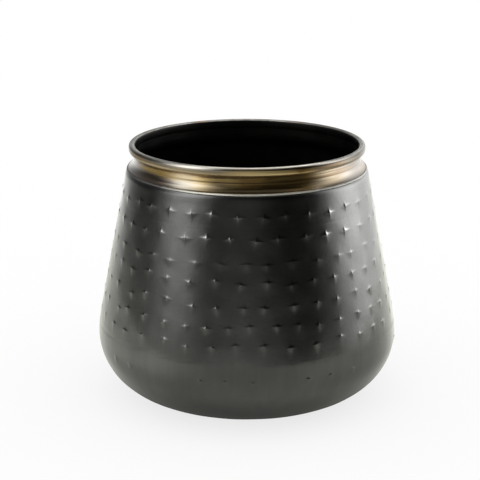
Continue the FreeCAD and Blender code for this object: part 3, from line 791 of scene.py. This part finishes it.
def lathe(name, outline, materials, looks=None):
    """A closed outline turned about the axis."""
    mesh = Mesh()
    turn = even(COLLAR_ROUND)
    rings = [mesh.ring(turn, r, z) for r, z in outline]
    for i, low in enumerate(rings):
        mesh.bridge(low, rings[(i + 1) % len(rings)], looks[i] if looks else 0)
    return mesh.make(name, materials)


# The collar: bare just inside the crest of its rolled rim, lacquered from there down the inside
EDGE_FROM, BLACK_FROM = math.radians(97.0), math.radians(142.0)
# Its neck leans in and ends below the step, whose two bends are rounded over these heights and shares
NECK_LEAN, NECK_END = math.radians(6.0), 3.0
BEND_IN, BEND_OUT, STEP_START, STEP_END = 0.4, 0.3, 0.1, 0.9
# Points of its arcs: hollow, top and foot of the curl inside, sides outside, bare edge, black
COVE_POINTS, CURL_POINTS, CURL_FOOT_POINTS, ROLL_POINTS, EDGE_POINTS, BLACK_POINTS = 22, 22, 16, 20, 10, 6
# How far the trim runs out downwards, and the points of its section
TRIM_DROOP, TRIM_POINTS = 2.6, 20


def neck_collar():
    end = math.pi - WRAP
    foot = STEP_TOP - STEP_H
    outline = arc(COVE_C, COVE_R, math.pi + COVE_TURN, math.pi + NECK_LEAN, COVE_POINTS)
    neck_r, neck_z = outline[-1]
    neck = (foot - NECK_END, foot + BEND_IN)
    outline += [(neck_r - (z - neck_z) * math.tan(NECK_LEAN), z) for z in neck]
    outline += [(NECK_R - STEP_IN * STEP_END, STEP_TOP - BEND_IN), (NECK_R - STEP_IN, STEP_TOP + BEND_OUT)]
    outline += arc(ROLL_TOP, CURL_IN, math.pi, 0.0, CURL_POINTS)
    outline += arc(ROLL_FOOT, CURL_IN, 0.0, end, CURL_FOOT_POINTS)
    outline += arc(ROLL_FOOT, CURL_OUT, end, 0.0, ROLL_POINTS)
    outline += arc(ROLL_TOP, CURL_OUT, 0.0, EDGE_FROM, ROLL_POINTS)
    edge_from = len(outline) - 1
    outline += arc(ROLL_TOP, CURL_OUT, EDGE_FROM, BLACK_FROM, EDGE_POINTS)[1:]
    black_from = len(outline) - 1
    outline += arc(ROLL_TOP, CURL_OUT, BLACK_FROM, math.pi, BLACK_POINTS)[1:]
    outline += [(MOUTH_R, STEP_TOP + BEND_OUT), (MOUTH_R + STEP_IN * STEP_START, STEP_TOP - BEND_IN)]
    outline += [(MOUTH_R + STEP_IN * STEP_END, foot + BEND_IN), (MOUTH_R + STEP_IN, foot - BEND_OUT)]
    outline += arc(COVE_C, COVE_R + COLLAR_T, math.pi, math.pi + COVE_TURN, COVE_POINTS)
    looks = [0] * edge_from + [2] * (black_from - edge_from) + [1] * (len(outline) - 1 - black_from) + [0]
    piece = lathe("collar_skin", outline, [BRASS, LACQUER_AND_SHADE, EDGE], looks)
    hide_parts("neck_collar")


def trim_ring():
    """The pale bead under the lip, run out a little down the shoulder."""
    reach = SHOULDER_R + TRIM_R + TRIM_GAP
    seat = COVE_TURN - math.asin((TRIM_R + TRIM_GAP) / reach)
    centre = on_circle(SHOULDER_C, reach, seat)
    lean = (math.cos(seat), math.sin(seat))
    outline = []
    for r, z in arc((0.0, 0.0), TRIM_R, 0.0, 2 * math.pi, TRIM_POINTS + 1)[:-1]:
        out, down = r * lean[0] + z * lean[1], r * lean[1] - z * lean[0]
        down *= TRIM_DROOP if down > 0 else 1.0
        outline.append((centre[0] + out * lean[0] + down * lean[1],
                        centre[1] + out * lean[1] - down * lean[0]))
    piece = lathe("trim_wire", outline, [TRIM])
    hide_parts("trim_ring")


# Section of a pad as shares of its radius and thickness, the points round it, and how uneven its edge is
PAD_SECTION = [(0.5, 0.0), (0.93, 0.0), (0.985, 0.12), (1.0, 0.5), (0.985, 0.88), (0.93, 1.0), (0.5, 1.0)]
PAD_POINTS, PAD_RAGGED = 48, 0.015


def foot_pads():
    """Pressed felt discs with a slightly soft, uneven edge."""
    for i in range(PAD_COUNT):
        at = math.radians(PAD_FIRST + 360.0 / PAD_COUNT * i)
        mesh = Mesh()
        turn = even(PAD_POINTS)
        rag = 1.0 - PAD_RAGGED * RNG.uniform(0, 1, PAD_POINTS)
        rings = [mesh.ring(turn, PAD_R * share * rag, PAD_T * up) for share, up in PAD_SECTION]
        mesh.chain(rings)
        mesh.cap(rings[0], 0.0)
        mesh.cap(rings[-1], PAD_T)
        shift = np.array([PAD_CIRCLE_R * math.cos(at), PAD_CIRCLE_R * math.sin(at), 0.0]) * MM
        mesh.points = [p + shift for p in mesh.points]
        piece = mesh.make(f"felt_pad_{i + 1}", [FELT])
        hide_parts(f"foot_pad_{i + 1}")


def paint_wire():
    wire = frame["nodes"]["rim_wire"]
    wire.data.materials.clear()
    wire.data.materials.append(WIRE)


below, above = split_at_seam(skin_rings())
hammered_wall(above)
base_pan(below)
neck_collar()
trim_ring()
foot_pads()
paint_wire()

# Camera, from the curve of the rim and of the punched rows in the photograph
CAMERA_AT, CAMERA_DOWN, CAMERA_SENSOR, CAMERA_LENS = (-0.00685, -1.462, 0.571), 15.91, 36.0, 113.76
camera = bpy.data.objects.new("camera", bpy.data.cameras.new("camera"))
camera.location = CAMERA_AT
camera.rotation_euler = (math.radians(90.0 - CAMERA_DOWN), 0.0, 0.0)
camera.data.sensor_width = CAMERA_SENSOR
camera.data.lens = CAMERA_LENS
bpy.context.collection.objects.link(camera)
bpy.context.scene.camera = camera

# Studio: a drum of soft boards that only reflections see, bright and dark by turns, round a white floor.
# A bearing is measured from the viewer's direction, positive to the viewer's right.
DRUM_R, DRUM_FOOT, DRUM_TOP, DRUM_DARK = 0.85, -0.02, 1.3, 0.02
# Soft lights on the drum: bearing and spread in degrees, strength, share of it at the floor, and heights
# where it starts and where it has faded to half, in metres
SOFT_LIGHTS = [
    (-57.0, 17.5, 2.05, 0.0, 0.0, 1.5),
    (-58.0, 19.0, 2.0, 0.0, 0.2, 1.6),
    (-80.0, 20.0, 3.0, 0.0, 0.75, 2.0),
    (96.0, 19.5, 4.6, 0.25, 0.0, 0.78),
    (119.0, 30.0, 3.2, 0.42, 0.0, 0.7),
    (-142.0, 22.0, 0.6, 0.9, 0.0, 0.3),
    (180.0, 32.0, 0.75, 1.0, 0.0, 0.65),
    (-6.0, 20.0, 0.14, 1.0, 0.0, 0.8),
    (-95.0, 30.0, 0.03, 1.0, 0.0, 2.0),
    (-130.0, 28.0, 0.13, 0.0, 0.3, 3.0),
]
# Height over which a light comes in, and the powers by which it falls off to the sides and upwards
LIGHT_RISE, LIGHT_EDGE, LIGHT_FADE = 0.17, 2.4, 4
# The ceiling's own dark grey, and the glow behind the pot: strength, start and depth
CEILING_DARK, CEILING_BACK, BACK_START, BACK_DEPTH = 0.06, 3.0, 0.12, 0.3
# Share of that glow at the far left, where it starts to grow from there, and over what width
BACK_LEFT, GROW_START, GROW_WIDTH = 0.3, -0.5, 0.3
# Spots of glow overhead, left, right and in front: strength, middle and width across, then along
CEILING_SPOTS = [
    (3.6, -0.75, 0.3, -0.05, 0.35),
    (0.45, 0.5, 0.25, 0.0, 0.4),
    (0.4, 0.0, 0.45, -0.5, 0.22),
]
CEILING_MARGIN = 0.05
# The far floor's glow along the foot of the drum, a third as strong about one bearing
FAR_GLOW, FAR_RISE, FAR_DIM, FAR_SPREAD, FAR_DIM_BY = 0.8, 0.12, 42.0, 25.0, 0.65
# Points of the boards: the drum round and up, the ceiling each way, the floor round
DRUM_POINTS, CEILING_POINTS, GLOW_POINTS = (121, 34), 25, 73
# Rings of the floor's board, near and far, each from, to and count, and its height, in metres
NEAR_RINGS, FAR_RINGS, GLOW_LIFT = (0.08, 0.30, 23), (0.33, DRUM_R, 10), 0.0015
# The near floor as reflections see it: dark under the pot as a painted shadow, then white, and dimmer
# towards the viewer
CONTACT_R, CONTACT_SOFT, CONTACT_DARK, NEAR_GLOW = 0.10, 0.07, 0.08, 0.78
FRONT_R, FRONT_SOFT, FRONT_GLOW, FRONT_EDGE, FRONT_WIDE = 0.16, 0.15, 0.7, 15.0, 50.0
# Glow of the floor at the left and right, each beside the pot and then behind it
LEFT_GLOW, RIGHT_GLOW, BACK_FROM, BACK_WIDE = (1.35, 1.15), (1.0, 1.55), 85.0, 55.0
FLOOR_TINT = (0.982, 1.0, 0.91)
# The floor itself: its grey, the share of white that is its own, and half its side in metres
FLOOR_SEEN, FLOOR_OWN, FLOOR_HALF = 0.22, 0.78, 6.0


def ease(value):
    """A smooth step from 0 to 1."""
    value = min(1.0, max(0.0, value))
    return value * value * (3.0 - 2.0 * value)


def shine(bearing, z):
    """Colour of the drum."""
    z = max(z, 0.0)
    total = DRUM_DARK
    for middle, spread, strength, foot, start, top in SOFT_LIGHTS:
        off = (bearing - middle + 180.0) % 360.0 - 180.0
        up = foot + (1.0 - foot) * (1.0 - math.exp(-(max(z - start, 0.0) / LIGHT_RISE) ** 2))
        fade = 1.0 + (z / top) ** LIGHT_FADE
        total += strength * up * math.exp(-abs(off / spread) ** LIGHT_EDGE) / fade
    dim = 1.0 - FAR_DIM_BY * math.exp(-((bearing - FAR_DIM) / FAR_SPREAD) ** 2)
    far = FAR_GLOW * dim * math.exp(-z / FAR_RISE)
    return [total + far * share for share in FLOOR_TINT]


def at_bearing(bearing, distance, z):
    turn = math.radians(bearing)
    return (distance * math.sin(turn), -distance * math.cos(turn), z)


def panel(name, rows_of_points, glow):
    """A stage board that only reflections see, with a colour at each point."""
    height, width = len(rows_of_points), len(rows_of_points[0])
    faces = [(i * width + j, i * width + j + 1, (i + 1) * width + j + 1, (i + 1) * width + j)
             for i in range(height - 1) for j in range(width - 1)]
    mesh = bpy.data.meshes.new(name)
    mesh.from_pydata([p for row in rows_of_points for p in row], [], faces)
    shade = mesh.attributes.new("shade", "FLOAT_COLOR", "POINT")
    shade.data.foreach_set("color", [v for row in glow for colour in row for v in (*colour, 1.0)])
    material = bpy.data.materials.new(name)
    material.use_nodes = True
    nodes, links = material.node_tree.nodes, material.node_tree.links
    nodes.clear()
    kinds = ("ShaderNodeEmission", "ShaderNodeOutputMaterial", "ShaderNodeAttribute")
    emit, out, read = (nodes.new(kind) for kind in kinds)
    read.attribute_name = "shade"
    links.new(read.outputs["Color"], emit.inputs["Color"])
    links.new(emit.outputs[0], out.inputs["Surface"])
    mesh.materials.append(material)
    board = bpy.data.objects.new(name, mesh)
    bpy.context.collection.objects.link(board)
    board.visible_camera = board.visible_diffuse = board.visible_shadow = board.visible_transmission = False


def drum():
    bearings = np.linspace(-180.0, 180.0, DRUM_POINTS[0])
    heights = np.linspace(DRUM_FOOT, DRUM_TOP, DRUM_POINTS[1])
    points = [[at_bearing(b, DRUM_R, z) for b in bearings] for z in heights]
    panel("drum", points, [[shine(b, z) for b in bearings] for z in heights])


def overhead(x, y):
    """Glow of the ceiling: bright behind the pot and at the left, faint at the right and in front."""
    behind = ease((y - BACK_START) / BACK_DEPTH)
    width = BACK_LEFT + (1 - BACK_LEFT) * ease((x - GROW_START) / GROW_WIDTH)
    total = CEILING_DARK + CEILING_BACK * behind * width
    for strength, across, wide, along, deep in CEILING_SPOTS:
        total += strength * math.exp(-((x - across) / wide) ** 2 - ((y - along) / deep) ** 2)
    return total


def ceiling():
    side = np.linspace(-DRUM_R - CEILING_MARGIN, DRUM_R + CEILING_MARGIN, CEILING_POINTS)
    points = [[(x, y, DRUM_TOP) for x in side] for y in side]
    panel("ceiling", points, [[(overhead(x, y),) * 3 for x in side] for y in side])


def floor_glow():
    """The floor as reflections see it."""
    bearings = np.linspace(-180.0, 180.0, GLOW_POINTS)
    reach = np.concatenate([np.linspace(*NEAR_RINGS), np.linspace(*FAR_RINGS)])
    points, glow = [], []
    for distance in reach:
        points.append([at_bearing(b, distance, GLOW_LIFT) for b in bearings])
        # Painted shadow of the pot as reflections see it: dark close under it
        near = ease((distance - CONTACT_R) / CONTACT_SOFT)
        far = ease((distance - FRONT_R) / FRONT_SOFT)
        sides = []
        for b in bearings:
            side, back = LEFT_GLOW if b < 0 else RIGHT_GLOW
            side += (back - side) * ease((abs(b) - BACK_FROM) / BACK_WIDE)
            sides.append(FRONT_GLOW + (side - FRONT_GLOW) * ease((abs(b) - FRONT_EDGE) / FRONT_WIDE))
        open_floor = [NEAR_GLOW + (side - NEAR_GLOW) * far for side in sides]
        lit = [CONTACT_DARK + (value - CONTACT_DARK) * near for value in open_floor]
        glow.append([[value * share for share in FLOOR_TINT] for value in lit])
    panel("floor_glow", points, glow)


def floor():
    """White, with the pot's soft shadow. Part of the white is its own, and lights no matte surface."""
    mesh = bpy.data.meshes.new("floor")
    corners = [(x * FLOOR_HALF, y * FLOOR_HALF, 0) for x, y in ((-1, -1), (1, -1), (1, 1), (-1, 1))]
    mesh.from_pydata(corners, [], [(0, 1, 2, 3)])
    grey, white = (FLOOR_SEEN, FLOOR_SEEN, FLOOR_SEEN, 1.0), (1.0, 1.0, 1.0, 1.0)
    look = Look("floor", Base_Color=grey, Roughness=0.9, Specular_IOR_Level=0.0, Emission_Color=white)
    path = look.add("ShaderNodeLightPath").outputs
    seen = look.math("MAXIMUM", path["Is Camera Ray"], path["Is Glossy Ray"])
    seen = look.math("MAXIMUM", seen, path["Is Transmission Ray"])
    look.set("Emission Strength", look.math("MULTIPLY", seen, FLOOR_OWN))
    mesh.materials.append(look.material)
    ground = bpy.data.objects.new("floor", mesh)
    bpy.context.collection.objects.link(ground)


def world():
    sky = bpy.data.worlds.new("studio")
    sky.use_nodes = True
    background = sky.node_tree.nodes["Background"].inputs
    background["Color"].default_value = (1.0, 1.0, 1.0, 1.0)
    background["Strength"].default_value = 1.0
    bpy.context.scene.world = sky


drum()
ceiling()
floor_glow()
floor()
world()
bpy.context.scene.view_settings.view_transform = "Standard"
